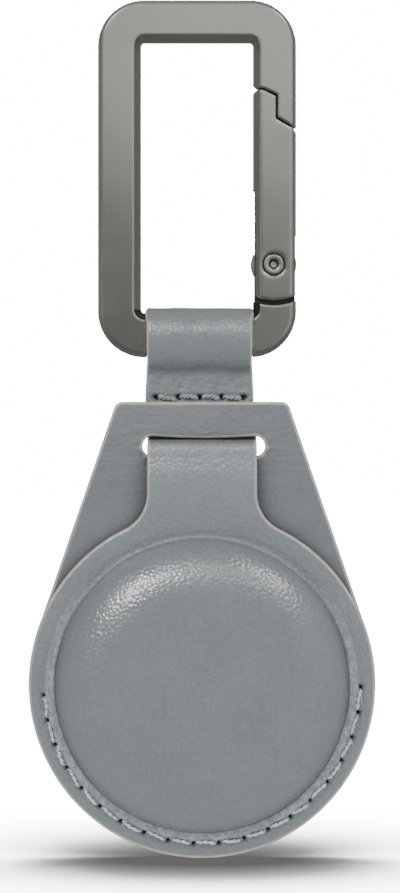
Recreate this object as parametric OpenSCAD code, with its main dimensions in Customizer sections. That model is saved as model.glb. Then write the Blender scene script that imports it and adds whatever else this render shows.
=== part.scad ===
// Leather holder for a round tracker tag, hung on a rectangular snap hook.
// Millimetres. +Z up, the moulded front faces -Y, X to the right.
// The origin is the middle of the flat land under the snap hook's top bar.

/* [Snap hook] */
// Outside width of the hook
hook_w = 23.8; // [20:0.1:30]
// Outside height of the hook
hook_h = 42.8; // [38:0.1:52]
// Thickness of the hook from front to back
hook_t = 3.6; // [3:0.1:5]
// Outside corner radius
hook_round = 5.5; // [5:0.1:6]
// Width of the side bars from outer edge to inner land
side_bar = 5.2; // [4.9:0.05:5.6]
// Height of the top bar from outer edge to inner land
top_bar = 5.1; // [4:0.1:5.5]
// Height of the bottom bar from outer edge to inner land
bottom_bar = 5.3; // [5:0.1:6]
// Bevel on the outer edges
outer_bevel = 0.45; // [0.3:0.05:0.8]
// Bevel on the inner edges
inner_bevel = 0.85; // [0.4:0.05:0.9]
// Flat land left between the two bevels of an edge
land_t = 1.2; // [0.8:0.1:1.6]
// Corner radius of the window at its land
window_round = 0.4; // [0.2:0.05:0.6]

/* [Gate seam] */
// Gap between nose and gate
seam_gap = 0.2; // [0.12:0.01:0.3]
// Depth of the seam's inner end below the top land
seam_drop = 5.6; // [5:0.1:7]
// Run of the seam's first step from the inner land
seam_step = 1.2; // [0.9:0.05:1.5]
// Distance from the inner land to the side of the nose
nose_side = 2.85; // [2.6:0.05:3]
// Fall of the seam from its first step to the side of the nose
seam_fall = 0.8; // [0.5:0.05:1.2]
// Length of the nose beside the gate
nose_l = 2.7; // [2:0.1:3.5]
// Fall of the slanted nose end out to the outer edge
nose_slant = 1.4; // [0.8:0.1:2]
// Width of the rounded corners where the seam meets an edge
nick_w = 0.7; // [0.4:0.05:0.9]
// Height of those rounded corners
nick_h = 0.45; // [0.1:0.05:0.5]
// Thickness of the nose's tongue, which closes the view through the seam
tongue_t = 0.8; // [0.6:0.1:1]
// Reach of the tongue from the nose's edge
tongue_l = 0.5; // [0.4:0.05:0.6]
// Gap between the tongue and its groove in the gate
tongue_clear = 0.12; // [0.1:0.01:0.2]

/* [Gate pivot] */
// Depth of the rivet below the top land
pivot_drop = 26.6; // [25:0.1:26.8]
// Distance of the rivet from the outer edge
pivot_in = 2.72; // [2.6:0.02:2.9]
// Distance from the rivet down to the gate's lower end
heel_drop = 4.3; // [4.1:0.05:4.4]
// Radius of the gate's round lower end
heel_r = 6.5; // [5.5:0.1:7.5]
// Gap between the gate's lower end and the hook's shoulder
heel_gap = 0.6; // [0.5:0.01:0.65]
// Rivet shank radius
rivet_r = 0.75; // [0.6:0.01:0.85]
// Rivet head radius
head_r = 1.2; // [1.1:0.01:1.3]
// Depth of the counterbore that takes a rivet head
head_seat = 0.42; // [0.3:0.01:0.5]
// Radius of the dimple in a rivet head
dimple_r = 0.78; // [0.5:0.01:0.85]
// Depth of the dimple in a rivet head
dimple_depth = 0.24; // [0.1:0.01:0.28]
// Radial clearance of the gate on the rivet
run_clear = 0.05; // [0.02:0.01:0.08]
// Radial clearance round a rivet head
head_clear = 0.2; // [0.1:0.01:0.25]
// Gap between a rivet head and the floor of its counterbore
head_lift = 0.03; // [0.02:0.01:0.05]
// Thickness of the tang between the gate's cheeks
tang_t = 1.6; // [1.2:0.05:1.8]
// Radius of the tang's eye
tang_r = 2.75; // [2.6:0.05:2.8]
// Setback of the tang's sides from the hook's sides below the rivet
tang_side = 0.15; // [0.05:0.01:0.3]
// Height of the plunger's seat above the rivet
tang_seat = 1.2; // [1.1:0.02:1.3]
// Distance from the rivet to the step beside the seat
tang_step = 0.6; // [0.5:0.02:0.8]
// Height of the tang's outer corner above the rivet
tang_rise = 2.5; // [2.2:0.05:2.6]
// Gap between the tang and a cheek
cheek_clear = 0.08; // [0.05:0.01:0.12]
// Depth below the top land where the gate's inner wall ends
inner_wall_drop = 17.8; // [17.4:0.1:18.6]
// Depth below the top land where the gate's outer wall ends
outer_wall_drop = 23.2; // [22.4:0.1:23.5]
// Thickness of the gate's outer wall beside the channel
outer_wall_t = 1.6; // [1.4:0.05:1.8]

/* [Gate spring] */
// Radius of the spring's bore
bore_r = 0.8; // [0.75:0.01:0.85]
// Depth of the bore above the channel
bore_depth = 5; // [4:0.1:6]
// Distance of the bore from the rivet towards the window
bore_in = 0.7; // [0.6:0.02:0.8]
// Radius of the plunger's domed end
tip_r = 0.6; // [0.5:0.01:0.65]
// Height of the plunger's head above its dome
head_l = 1; // [0.6:0.05:1.4]
// Radius of the plunger's stem
stem_r = 0.34; // [0.3:0.01:0.38]
// Length of the plunger's stem
stem_l = 3.4; // [2.5:0.1:4]
// Gap between plunger and tang at rest
seat_clear = 0.02; // [0.01:0.01:0.04]
// Radius of the spring wire
wire_r = 0.12; // [0.1:0.01:0.14]
// Clearance of the spring in its bore
coil_clear = 0.08; // [0.05:0.01:0.1]
// Number of turns of the spring
coil_turns = 14; // [10:1:15]

/* [Strap] */
// Width of the strap at the hook
strap_w = 12.6; // [11:0.1:12.8]
// Thickness of the strap and neck leather
strap_t = 1.3; // [1:0.05:1.5]
// Offset of the strap to the right of the hook's middle
strap_side = 0.3; // [0:0.02:0.4]
// Radius of the bar's rounded section under the strap
bar_round = 2.2; // [2:0.05:2.3]
// Height of the rounded section's middle above the hook's lower edge
bar_lift = 2.35; // [2.3:0.01:2.4]
// Gap between strap and bar
bar_clear = 0.1; // [0.06:0.01:0.2]
// Gap between the strap's side and the full bar beside it
strap_gap = 0.1; // [0.05:0.01:0.15]
// Depth below the bar where the two layers meet
strap_meet = 4.65; // [4:0.05:5.2]
// Depth of the strap's stitches below the bar
tie_drop = 7.2; // [6.9:0.1:7.4]
// Depth of the tucked end of the strap below the bar
tuck_drop = 11.4; // [10.4:0.1:12]
// Length of strap below the stitches that keeps its shape
tie_tail = 1.7; // [1.2:0.1:1.9]
// Glue line between two layers
glue = 0.02; // [0.01:0.01:0.03]
// Pitch of the strap's stitches
tie_pitch = 2.6; // [2.3:0.05:2.7]
// Number of strap stitches
tie_count = 4; // [3:1:4]

/* [Yoke] */
// Depth of the yoke's upper edge below the bar
yoke_drop = 7.7; // [7.5:0.05:8.2]
// Width of the yoke's upper edge before its corners are rounded
yoke_w = 20.5; // [19:0.1:22]
// Corner radius of the yoke's upper edge
yoke_round = 1.1; // [0.8:0.05:1.6]
// Thickness of one of the two layers of the back panel
ply_t = 0.65; // [0.5:0.01:0.75]
// Gap between the yoke and the strap behind it
yoke_gap = 0.55; // [0.5:0.01:0.7]
// Length of the slot that the neck passes through
slot_w = 14.6; // [14.2:0.1:15.4]
// Height of the slot
slot_h = 2.35; // [2.25:0.05:2.6]
// Depth of the slot's middle below the yoke's upper edge
slot_drop = 5.3; // [5.2:0.05:5.6]
// Offset of the slot to the right of the pouch's middle
slot_side = 0.2; // [0:0.02:0.3]

/* [Pouch] */
// Radius of the tag that the pouch holds
tag_r = 15.95; // [15:0.01:16.5]
// Thickness of the tag that the pouch holds
tag_t = 8; // [7:0.05:8.4]
// Radial clearance round the tag
tag_clear = 0.05; // [0.02:0.01:0.15]
// Clearance over the tag's crown
crown_clear = 0.15; // [0.05:0.01:0.3]
// Thickness of the moulded front leather
front_t = 0.9; // [0.7:0.05:1.1]
// Thickness of the soft lining behind the front leather
lining_t = 0.4; // [0.3:0.05:0.5]
// Offset of the pouch to the right of the hook's middle
pouch_side = 0.6; // [0.3:0.02:0.7]
// Width of the flat rim round the dome
rim_w = 3.35; // [3.1:0.05:4.7]
// Depth of the pouch's middle below the bar
disc_drop = 41.35; // [40.8:0.05:43]
// Width of the neck above the pouch
neck_w = 13.1; // [12.8:0.1:13.4]
// Radius of the curves between neck and pouch
neck_fillet = 4.75; // [4.2:0.05:5.4]
// Radius of the bends that take the neck through the slot
bend_r = 1.1; // [1.05:0.01:1.15]
// Height of the dome's straight wall above the back of the front panel
dome_wall = 3.4; // [2.8:0.05:4]
// Width of the dome's rounded shoulder
shoulder_w = 6.9; // [5.5:0.1:8]
// Rise of the dome's crown above its shoulder
crown_rise = 0.35; // [0.1:0.05:0.6]
// Radius of the crease round the dome's foot
foot_r = 0.6; // [0.3:0.05:0.8]
// Height of the fold line above the pouch's middle
fold_rise = 0.6; // [0.55:0.05:1.2]

/* [Stitching] */
// Distance of the ring of stitches from the pouch's edge
seam_in = 1.8; // [1.5:0.05:1.95]
// Number of stitches round the pouch
seam_count = 19; // [15:1:20]
// Angle of the last hole on the right below level
seam_right = 0.8; // [0.8:0.1:6]
// Angle of the last hole on the left below level
seam_left = 3.75; // [0.8:0.1:8]
// Radius of the sewing thread
thread_r = 0.21; // [0.16:0.01:0.22]
// Radius of a needle hole
hole_r = 0.47; // [0.46:0.01:0.5]
// Offset of a thread leg from the middle of its hole
leg_off = 0.24; // [0.23:0.01:0.25]
// Gap between thread and leather, and between the two threads
thread_clear = 0.02; // [0.01:0.01:0.03]

/* [Hidden] */
$fn = 64;
// Overrun of every cut past the face that it opens
cut = 1;
// Sides of a thread or wire, and rings in a turn of the spring
tube_sides = 6;
turn_rings = 8;
// Steps of a rounded corner of the seam
nick_steps = 4;
// Steps of the dome's shoulder and of its crown
shoulder_steps = 12;
crown_steps = 4;
// Steps of one half of the strap's S-bend
sway_steps = 10;
// Steps of the strap's way over the bar
over_steps = 24;
metal = [0.42, 0.42, 0.41];
dark_metal = [0.3, 0.3, 0.3];
leather = [0.49, 0.52, 0.54];
inside = [0.4, 0.42, 0.43];
thread = [0.72, 0.74, 0.73];

half_w = hook_w / 2;
hook_top = top_bar;
hook_bottom = hook_top - hook_h;
half_t = hook_t / 2;
half_land = land_t / 2;
land_x = half_w - side_bar;
land_bottom = hook_bottom + bottom_bar;
pivot_x = half_w - pivot_in;
pivot_z = -pivot_drop;
bore_x = pivot_x - bore_in;
tang_half = tang_t / 2;
channel_half = tang_half + cheek_clear;
seat_z = pivot_z + tang_seat;
heel_z = pivot_z - heel_drop;
heel_mid = heel_z + heel_r;
shoulder_r = heel_r + heel_gap;

// Stations of the seam, from the window to the outer edge
seam_x0 = land_x - cut;
seam_x1 = land_x + seam_step;
seam_x2 = land_x + nose_side;
seam_x3 = half_w + cut;
seam_z0 = -seam_drop;
seam_z1 = seam_z0 - seam_fall;
seam_z2 = seam_z1 - nose_l;
seam_z3 = seam_z2 - nose_slant;
slant_out = half_w - seam_x2;
nick_z = seam_z3 + nose_slant * nick_w / 2 / slant_out;
tongue_x = land_x + nick_w;
tongue_z = seam_z3 - tongue_l - cut;

// The bar under the strap, and the strap round it
bar_z = hook_bottom + bar_lift;
loop_in = bar_round + bar_clear;
loop_out = loop_in + strap_t;
loop_mid = (loop_in + loop_out) / 2;
half_ply = strap_t / 2;
layer_y = half_ply + glue / 2;
meet_z = bar_z - strap_meet;
sway = loop_mid - layer_y;
sway_angle = 2 * atan(sway / strap_meet);
sway_r = strap_meet / (2 * sin(sway_angle));
tie_z = bar_z - tie_drop;
tail_z = tie_z - tie_tail;
tuck_z = bar_z - tuck_drop;
strap_front = -layer_y - half_ply;
strap_back = layer_y + half_ply;

// Layers of the pouch from the back to the front
back_y = strap_front - yoke_gap;
mid_y = back_y - ply_t;
pocket_y = back_y - 2 * ply_t;
lining_y = pocket_y - lining_t;
face_y = lining_y - front_t;
neck_y = pocket_y - half_ply;
dome_r = tag_r + tag_clear + lining_t + front_t;
disc_r = dome_r + rim_w;
seam_r = disc_r - seam_in;
disc_z = bar_z - disc_drop;
yoke_top = bar_z - yoke_drop;
slot_z = yoke_top - slot_drop;
fold_z = disc_z + fold_rise;
neck_half = neck_w / 2;
fillet_reach = neck_half + neck_fillet;
fillet_rise = sqrt(pow(disc_r + neck_fillet, 2) - pow(fillet_reach, 2));
neck_base = disc_z + fillet_rise;

// Bends of the neck through the slot
slot_run = (-layer_y) - neck_y - 2 * bend_r;
bend_in_z = slot_z - bend_r;
bend_out_z = slot_z + bend_r;
bend_in_y = neck_y + bend_r;
bend_out_y = -layer_y - bend_r;

// Dome, in radius and height above the back of the front panel
dome_h = tag_t + crown_clear + lining_t + front_t;
flange_h = lining_t + front_t;
shoulder_h = dome_h - crown_rise - dome_wall;
shoulder_x = dome_r - shoulder_w;

// Ring of stitches, as angles from +X turning through the bottom
seam_start = -seam_right;
seam_sweep = 180 - seam_right - seam_left;
seam_step_angle = seam_sweep / seam_count;

// Middle of the leather under a stitch, and where the two threads meet
pouch_mid_y = (face_y + back_y) / 2;
strap_mid_y = 0;
meet_off = thread_r + thread_clear;

// Spring from the plunger's head to the end of its bore
plunger_z = seat_z + seat_clear + tip_r;
collar_z = plunger_z + head_l;
bore_end = -inner_wall_drop + bore_depth;
coil_r = bore_r - coil_clear - wire_r;
coil_low = collar_z + seat_clear + wire_r;
coil_high = bore_end - seat_clear - wire_r;
coil_pitch = (coil_high - coil_low) / coil_turns;
coil_points = [for (i = [0 : coil_turns * turn_rings])
    [bore_x + coil_r * cos(360 * i / turn_rings),
     coil_r * sin(360 * i / turn_rings),
     coil_low + coil_pitch * i / turn_rings]];
coil_gap = min([for (i = [0 : turn_rings / 2])
    for (k = [-2 : 2])
    norm(coil_points[turn_rings + i] - coil_points[2 * turn_rings + i + k])]) - 2 * wire_r;
echo(least_gap_of_the_spring_to_itself = coil_gap);

// A prism from one depth to another, over a shape drawn in X and Z
module plate(from_y, to_y) {
    translate([0, to_y, 0])
        rotate([90, 0, 0])
            linear_extrude(height = to_y - from_y)
                children();
}

// A prism along X, over a shape drawn in Y and Z
module run(from_x, to_x) {
    translate([from_x, 0, 0])
        rotate([90, 0, 90])
            linear_extrude(height = to_x - from_x)
                children();
}

// A solid turned about an axis that points to the front
module turned(x, z) {
    translate([x, 0, z])
        rotate([90, 0, 0])
            rotate_extrude($fn = 96)
                children();
}

// A hole along Y
module drill(x, z, r, from_y, to_y) {
    translate([x, to_y, z])
        rotate([90, 0, 0])
            cylinder(r = r, h = to_y - from_y);
}

// A rounded rectangular slab whose edge is bevelled by b on both sides of its land
module bevelled(x0, x1, z0, z1, r, b, t) {
    edge = [[0, -t], [r + b, -t], [r, -half_land], [r, half_land], [r + b, t], [0, t]];
    for (x = [x0 + r, x1 - r])
        for (z = [z0 + r, z1 - r])
            turned(x, z) polygon(edge);
    run(x0 + r, x1 - r)
        polygon([[-t, z0 - b], [-half_land, z0], [half_land, z0], [t, z0 - b],
                 [t, z1 + b], [half_land, z1], [-half_land, z1], [-t, z1 + b]]);
    translate([0, 0, z0 + r])
        linear_extrude(height = z1 - z0 - 2 * r)
            polygon([[x0 - b, -t], [x0, -half_land], [x0, half_land], [x0 - b, t],
                     [x1 + b, t], [x1, half_land], [x1, -half_land], [x1 + b, -t]]);
}

// The bevelled ring that both frame and gate are cut from
module ring() {
    grow = inner_bevel * (half_t + cut - half_land) / (half_t - half_land);
    difference() {
        bevelled(-half_w, half_w, hook_bottom, hook_top, hook_round, -outer_bevel, half_t);
        bevelled(-land_x, land_x, land_bottom, 0, window_round, grow, half_t + cut);
    }
}

// Everything below the seam moved up by shift, its corners at the edges turned by lift
module below_seam(shift, lift, low) {
    polygon(concat(
        [[seam_x0, seam_z0 + shift + lift]],
        [for (s = [0 : 1 / nick_steps : 1])
            [land_x + nick_w * s, seam_z0 + shift + lift * pow(1 - s, 2)]],
        [[seam_x1, seam_z0 + shift],
         [seam_x2 + shift, seam_z1 + shift], [seam_x2 + shift, seam_z2 + shift],
         [half_w - nick_w / 2, nick_z + shift], [half_w, seam_z3 + shift + lift / 2],
         [seam_x3, seam_z3 + shift + lift], [seam_x3, low], [seam_x0, low]]));
}

// The nose's tongue as far as to_x, or with a gap the groove for it
module seam_tongue(gap, to_x) {
    plate(-tongue_t / 2 - gap, tongue_t / 2 + gap)
        difference() {
            translate([tongue_x - gap, tongue_z])
                square([to_x - tongue_x + gap, -tongue_z]);
            below_seam(seam_gap / 2 - tongue_l - gap, -nick_h, tongue_z - cut);
        }
}

// Side view of the tang, its seat cut away from the eye
module tang_outline() {
    difference() {
        union() {
            translate([pivot_x, pivot_z])
                circle(r = tang_r);
            translate([land_x + tang_side, heel_z - heel_gap - inner_bevel])
                square([side_bar - 2 * tang_side, heel_drop + heel_gap + inner_bevel]);
            translate([pivot_x, pivot_z])
                square([pivot_in - tang_side, tang_rise]);
        }
        translate([pivot_x - tang_r - cut, seat_z])
            square([tang_r + tang_step + cut, tang_r]);
    }
}

// The strap's place along the bottom bar
strap_left = strap_side - strap_w / 2;
strap_right = strap_side + strap_w / 2;
notch_left = strap_left - strap_gap;
notch_right = strap_right + strap_gap;

module hook_frame() {
    color(metal)
    union() {
        difference() {
            ring();
            difference() {
                plate(-half_t - cut, half_t + cut) {
                    below_seam(seam_gap / 2, nick_h, pivot_z);
                    translate([pivot_x, heel_mid])
                        circle(r = shoulder_r);
                }
                seam_tongue(0, half_w - nick_w);
            }
            translate([notch_left, -half_t - cut, hook_bottom - cut])
                cube([notch_right - notch_left, hook_t + 2 * cut, bottom_bar + inner_bevel + 2 * cut]);
        }
        run(notch_left, notch_right)
            intersection() {
                translate([0, bar_z])
                    circle(r = bar_round);
                translate([-half_t, bar_z - bar_round])
                    square([hook_t, 2 * bar_round]);
            }
        difference() {
            plate(-tang_half, tang_half)
                tang_outline();
            drill(pivot_x, pivot_z, rivet_r, -tang_t, tang_t);
        }
    }
}

module hook_gate() {
    color(metal)
    difference() {
        intersection() {
            ring();
            plate(-half_t - cut, half_t + cut)
                below_seam(-seam_gap / 2, -nick_h, heel_z - cut);
        }
        plate(-half_t - cut, half_t + cut)
            difference() {
                translate([seam_x0, heel_z - 2 * cut])
                    square([seam_x3 - seam_x0, heel_drop + 2 * cut]);
                translate([pivot_x, heel_mid])
                    circle(r = heel_r);
            }
        translate([seam_x0, -channel_half, heel_z - cut])
            cube([half_w - outer_wall_t - seam_x0, 2 * channel_half,
                  pivot_drop - inner_wall_drop + heel_drop + cut]);
        translate([seam_x0, -channel_half, heel_z - cut])
            cube([seam_x3 - seam_x0, 2 * channel_half,
                  pivot_drop - outer_wall_drop + heel_drop + cut]);
        translate([bore_x, 0, -inner_wall_drop - cut])
            cylinder(r = bore_r, h = bore_depth + cut);
        seam_tongue(tongue_clear, seam_x3);
        drill(pivot_x, pivot_z, rivet_r + run_clear, -half_t - cut, half_t + cut);
        drill(pivot_x, pivot_z, head_r + head_clear, -half_t - cut, -half_t + head_seat);
        drill(pivot_x, pivot_z, head_r + head_clear, half_t - head_seat, half_t + cut);
    }
}

module gate_rivet() {
    inner = half_t - head_seat + head_lift;
    color(dark_metal)
    turned(pivot_x, pivot_z)
        polygon([[0, -half_t + dimple_depth], [dimple_r / 2, -half_t + dimple_depth],
                 [dimple_r, -half_t], [head_r, -half_t], [head_r, -inner], [rivet_r, -inner],
                 [rivet_r, inner], [head_r, inner], [head_r, half_t], [dimple_r, half_t],
                 [dimple_r / 2, half_t - dimple_depth], [0, half_t - dimple_depth]]);
}

module gate_plunger() {
    color(dark_metal)
    translate([bore_x, 0, plunger_z])
        union() {
            intersection() {
                sphere(r = tip_r);
                translate([0, 0, -tip_r])
                    cylinder(r = tip_r + cut, h = tip_r);
            }
            cylinder(r = tip_r, h = head_l);
            cylinder(r = stem_r, h = head_l + stem_l);
        }
}

// A tube of six sides swept along points, its rings carried along without twist
function unit(v) = v / norm(v);
function heading(p, i) = unit(p[min(i + 1, len(p) - 1)] - p[max(i - 1, 0)]);
function carried(v, t) = unit(v - (v * t) * t);
function frames(p, first) = [for (i = 0, v = carried(first, heading(p, 0)); i < len(p);
    i = i + 1, v = carried(v, heading(p, min(i, len(p) - 1)))) v];

module tube(p, r, first) {
    side = frames(p, first);
    n = tube_sides;
    last = len(p) - 1;
    rings = [for (i = [0 : last])
        for (k = [0 : n - 1])
        p[i] + r * (cos(360 * k / n) * side[i] + sin(360 * k / n) * cross(heading(p, i), side[i]))];
    walls = [for (i = [0 : last - 1])
        for (k = [0 : n - 1])
        for (half = [0, 1])
        half == 0
            ? [i * n + k, (i + 1) * n + k, (i + 1) * n + (k + 1) % n]
            : [i * n + k, (i + 1) * n + (k + 1) % n, i * n + (k + 1) % n]];
    near_end = [for (k = [1 : n - 2]) [0, k, k + 1]];
    far_end = [for (k = [1 : n - 2]) [last * n, last * n + k + 1, last * n + k]];
    polyhedron(points = rings, faces = concat(walls, near_end, far_end));
}

module gate_spring() {
    color(dark_metal)
    tube(coil_points, wire_r, [1, 0, 0]);
}

// A bend of leather drawn in Y and Z, between two angles about its middle
module bend(y, z, r, from_a, to_a) {
    far = 3 * (r + strap_t);
    mid_a = (from_a + to_a) / 2;
    translate([y, z])
        intersection() {
            difference() {
                circle(r = r + half_ply);
                circle(r = r - half_ply);
            }
            polygon([[0, 0], [far * cos(from_a), far * sin(from_a)],
                     [far * cos(mid_a), far * sin(mid_a)],
                     [far * cos(to_a), far * sin(to_a)]]);
        }
}

// Points along one side of the strap's S-bend below the bar, off its middle line by out.
// Way is -1 for the front side and +1 for the back.
function sway_points(out, way) = concat(
    [for (i = [0 : sway_steps])
        [way * (loop_mid - sway_r + (sway_r + out) * cos(sway_angle * i / sway_steps)),
         bar_z - (sway_r + out) * sin(sway_angle * i / sway_steps)]],
    [for (i = [sway_steps - 1 : -1 : 0])
        [way * (layer_y + sway_r - (sway_r - out) * cos(sway_angle * i / sway_steps)),
         meet_z + (sway_r - out) * sin(sway_angle * i / sway_steps)]]);
function backwards(p) = [for (i = [len(p) - 1 : -1 : 0]) p[i]];

// The strap in Y and Z, from its front end over the bar and down to its back end
module strap_shape() {
    polygon(concat(
        backwards(sway_points(half_ply, -1)),
        over_bar(loop_out),
        sway_points(half_ply, 1),
        [[layer_y + half_ply, tuck_z], [layer_y - half_ply, tuck_z]],
        backwards(sway_points(-half_ply, 1)),
        backwards(over_bar(loop_in - bar_clear)),
        sway_points(-half_ply, -1),
        [[-layer_y + half_ply, tail_z], [-layer_y - half_ply, tail_z]]));
}
function over_bar(r) = [for (i = [1 : over_steps - 1])
    [-r * cos(180 * i / over_steps), bar_z + r * sin(180 * i / over_steps)]];

module strap_loop() {
    color(leather)
    difference() {
        run(strap_left, strap_right)
            strap_shape();
        run(strap_left - cut, strap_right + cut)
            intersection() {
                translate([0, bar_z])
                    circle(r = loop_in);
                translate([-loop_in - cut, bar_z])
                    square([2 * (loop_in + cut), loop_in + cut]);
            }
        for (i = [0 : tie_count])
            drill(tie_x(i), tie_z, hole_r, strap_front - cut, strap_back + cut);
    }
}

module neck_strap() {
    color(leather)
    run(pouch_side - neck_half, pouch_side + neck_half)
        union() {
            translate([neck_y - half_ply, neck_base])
                square([strap_t, bend_in_z - neck_base]);
            bend(bend_in_y, bend_in_z, bend_r, 90, 180);
            translate([bend_in_y, slot_z - half_ply])
                square([slot_run, strap_t]);
            bend(bend_out_y, bend_out_z, bend_r, -90, 0);
            translate([-layer_y - half_ply, bend_out_z])
                square([strap_t, tail_z - bend_out_z]);
        }
}

// Outline of the back panel in X and Z, with its sides touching the round part
yoke_rise = yoke_top - disc_z;
yoke_half = yoke_w / 2;
side_angle = atan2(yoke_rise, yoke_half) - acos(disc_r / norm([yoke_half, yoke_rise]));
corner_x = yoke_half + yoke_round * (tan(side_angle) - 1 / cos(side_angle));

module yoke_corner_outline() {
    right = [[0, 0], [disc_r * cos(side_angle), disc_r * sin(side_angle)],
             [corner_x + yoke_round * cos(side_angle),
              yoke_rise - yoke_round + yoke_round * sin(side_angle)],
             [corner_x, yoke_rise], [0, yoke_rise]];
    polygon(right);
    translate([corner_x, yoke_rise - yoke_round])
        circle(r = yoke_round);
}

module back_outline() {
    translate([pouch_side, disc_z])
        union() {
            circle(r = disc_r, $fn = 128);
            yoke_corner_outline();
            mirror([1, 0])
                yoke_corner_outline();
        }
}

// The slot, with round ends
module slot_outline() {
    reach = (slot_w - slot_h) / 2;
    translate([pouch_side + slot_side, slot_z])
        union() {
            for (x = [-reach, reach])
                translate([x, 0])
                    circle(r = slot_h / 2);
            translate([-reach, -slot_h / 2])
                square([2 * reach, slot_h]);
        }
}

module upper_ply(from_y, to_y) {
    plate(from_y, to_y)
        difference() {
            intersection() {
                back_outline();
                translate([pouch_side - disc_r - cut, fold_z])
                    square([2 * (disc_r + cut), yoke_top - fold_z]);
            }
            slot_outline();
        }
}

module lower_ply(from_y, to_y) {
    difference() {
        plate(from_y, to_y)
            intersection() {
                back_outline();
                translate([pouch_side - disc_r - cut, disc_z - disc_r - cut])
                    square([2 * (disc_r + cut), fold_z - disc_z + disc_r + cut]);
            }
        needle_holes(from_y - cut, to_y + cut);
    }
}

module yoke_facing() {
    color(leather)
    upper_ply(pocket_y, mid_y);
}

module yoke_backing() {
    color(leather)
    upper_ply(mid_y, back_y);
}

module back_facing() {
    color(leather)
    lower_ply(pocket_y, mid_y);
}

module back_backing() {
    color(leather)
    lower_ply(mid_y, back_y);
}

// Outline of the front panel in X and Z up to the foot of its neck
module front_outline() {
    translate([pouch_side, disc_z])
        union() {
            circle(r = disc_r, $fn = 128);
            difference() {
                polygon([[0, 0], [fillet_reach, fillet_rise], [-fillet_reach, fillet_rise]]);
                for (x = [-fillet_reach, fillet_reach])
                    translate([x, fillet_rise])
                        circle(r = neck_fillet);
            }
        }
}

// Profile of the dome in radius and height, drawn in by an inset
module dome_profile(inset) {
    a = shoulder_w - inset;
    b = shoulder_h - inset;
    top = dome_h - inset - crown_rise;
    polygon(concat(
        [[0, 0], [dome_r - inset, 0], [dome_r - inset, dome_wall]],
        [for (i = [1 : shoulder_steps])
            [shoulder_x + a * cos(90 * i / shoulder_steps),
             dome_wall + b * sin(90 * i / shoulder_steps)]],
        [for (i = [crown_steps - 1 : -1 : 0])
            [shoulder_x * i / crown_steps,
             top + crown_rise * (1 - pow(i / crown_steps, 2))]]));
}

// The dome's crease where it meets the flange
module dome_foot() {
    difference() {
        translate([dome_r - front_t / 2, flange_h - front_t / 2])
            square([foot_r + front_t / 2, foot_r + front_t / 2]);
        translate([dome_r + foot_r, flange_h + foot_r])
            circle(r = foot_r);
    }
}

module dome_solid(inset) {
    translate([0, pocket_y, 0])
        turned(pouch_side, disc_z)
            dome_profile(inset);
}

module front_panel() {
    color(leather)
    difference() {
        union() {
            plate(face_y, lining_y)
                front_outline();
            difference() {
                dome_solid(0);
                plate(lining_y, pocket_y + cut)
                    translate([pouch_side, disc_z])
                        circle(r = disc_r + cut);
            }
            translate([0, pocket_y, 0])
                turned(pouch_side, disc_z)
                    dome_foot();
        }
        dome_solid(front_t);
        needle_holes(face_y - cut, lining_y + cut);
    }
}

module front_lining() {
    color(inside)
    difference() {
        union() {
            plate(lining_y, pocket_y)
                front_outline();
            dome_solid(front_t + glue);
        }
        dome_solid(front_t + lining_t);
        plate(pocket_y, pocket_y + cut)
            front_outline();
        needle_holes(lining_y - cut, pocket_y + cut);
    }
}

// Places of the needle holes
function seam_angle(i) = seam_start - seam_step_angle * i;
function tie_x(i) = strap_side + tie_pitch * (i - tie_count / 2);

module needle_holes(from_y, to_y) {
    for (i = [0 : seam_count])
        drill(pouch_side + seam_r * cos(seam_angle(i)), disc_z + seam_r * sin(seam_angle(i)),
              hole_r, from_y, to_y);
}

// One hole's share of a thread: down one leg, round and up the other, then half the run.
// Across and along are unit vectors in the leather's face, and way is +1 when the thread
// goes in towards +Y.
leg_shares = [0, 45, 90, 135, 180];
function dip(at, across, surface, middle, way) = concat(
    [at + leg_off * across + [0, surface, 0]],
    [for (a = leg_shares)
        at + leg_off * cos(a) * across
           + [0, middle - way * (meet_off + leg_off) + way * leg_off * sin(a), 0]],
    [at - leg_off * across + [0, surface, 0]]);

function seam_at(i) = [pouch_side + seam_r * cos(seam_angle(i)), 0, disc_z + seam_r * sin(seam_angle(i))];
function seam_out(i) = [cos(seam_angle(i)), 0, sin(seam_angle(i))];
function seam_on(i) = [sin(seam_angle(i)), 0, -cos(seam_angle(i))];
rise_shares = [0.3, 0.7];

// A whole thread through a row of holes, with a slight bow over each stitch
function thread_path(holes, across, surface, middle, way) = [for (i = [0 : len(holes) - 1])
    each concat(
        dip(holes[i], across[i], surface, middle, way),
        i == len(holes) - 1 ? [] : [for (s = rise_shares)
            (1 - s) * (holes[i] - leg_off * across[i])
            + s * (holes[i + 1] + leg_off * across[i + 1])
            + [0, surface - way * thread_clear, 0]])];

seam_holes = [for (i = [0 : seam_count]) seam_at(i)];
seam_outs = [for (i = [0 : seam_count]) seam_out(i)];
seam_ons = [for (i = [0 : seam_count]) -seam_on(i)];
tie_holes = [for (i = [0 : tie_count]) [tie_x(i), 0, tie_z]];
tie_ups = [for (i = [0 : tie_count]) [0, 0, 1]];
tie_alongs = [for (i = [0 : tie_count]) [-1, 0, 0]];
proud = thread_r + thread_clear;

module pouch_top_thread() {
    color(thread)
    tube(thread_path(seam_holes, seam_outs, face_y - proud, pouch_mid_y, 1), thread_r, [1, 0, 1]);
}

module pouch_bobbin_thread() {
    color(thread)
    tube(thread_path(seam_holes, seam_ons, back_y + proud, pouch_mid_y, -1), thread_r, [1, 0, 1]);
}

module strap_top_thread() {
    color(thread)
    tube(thread_path(tie_holes, tie_ups, strap_front - proud, strap_mid_y, 1), thread_r, [1, 0, 1]);
}

module strap_bobbin_thread() {
    color(thread)
    tube(thread_path(tie_holes, tie_alongs, strap_back + proud, strap_mid_y, -1), thread_r, [1, 0, 1]);
}

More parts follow.
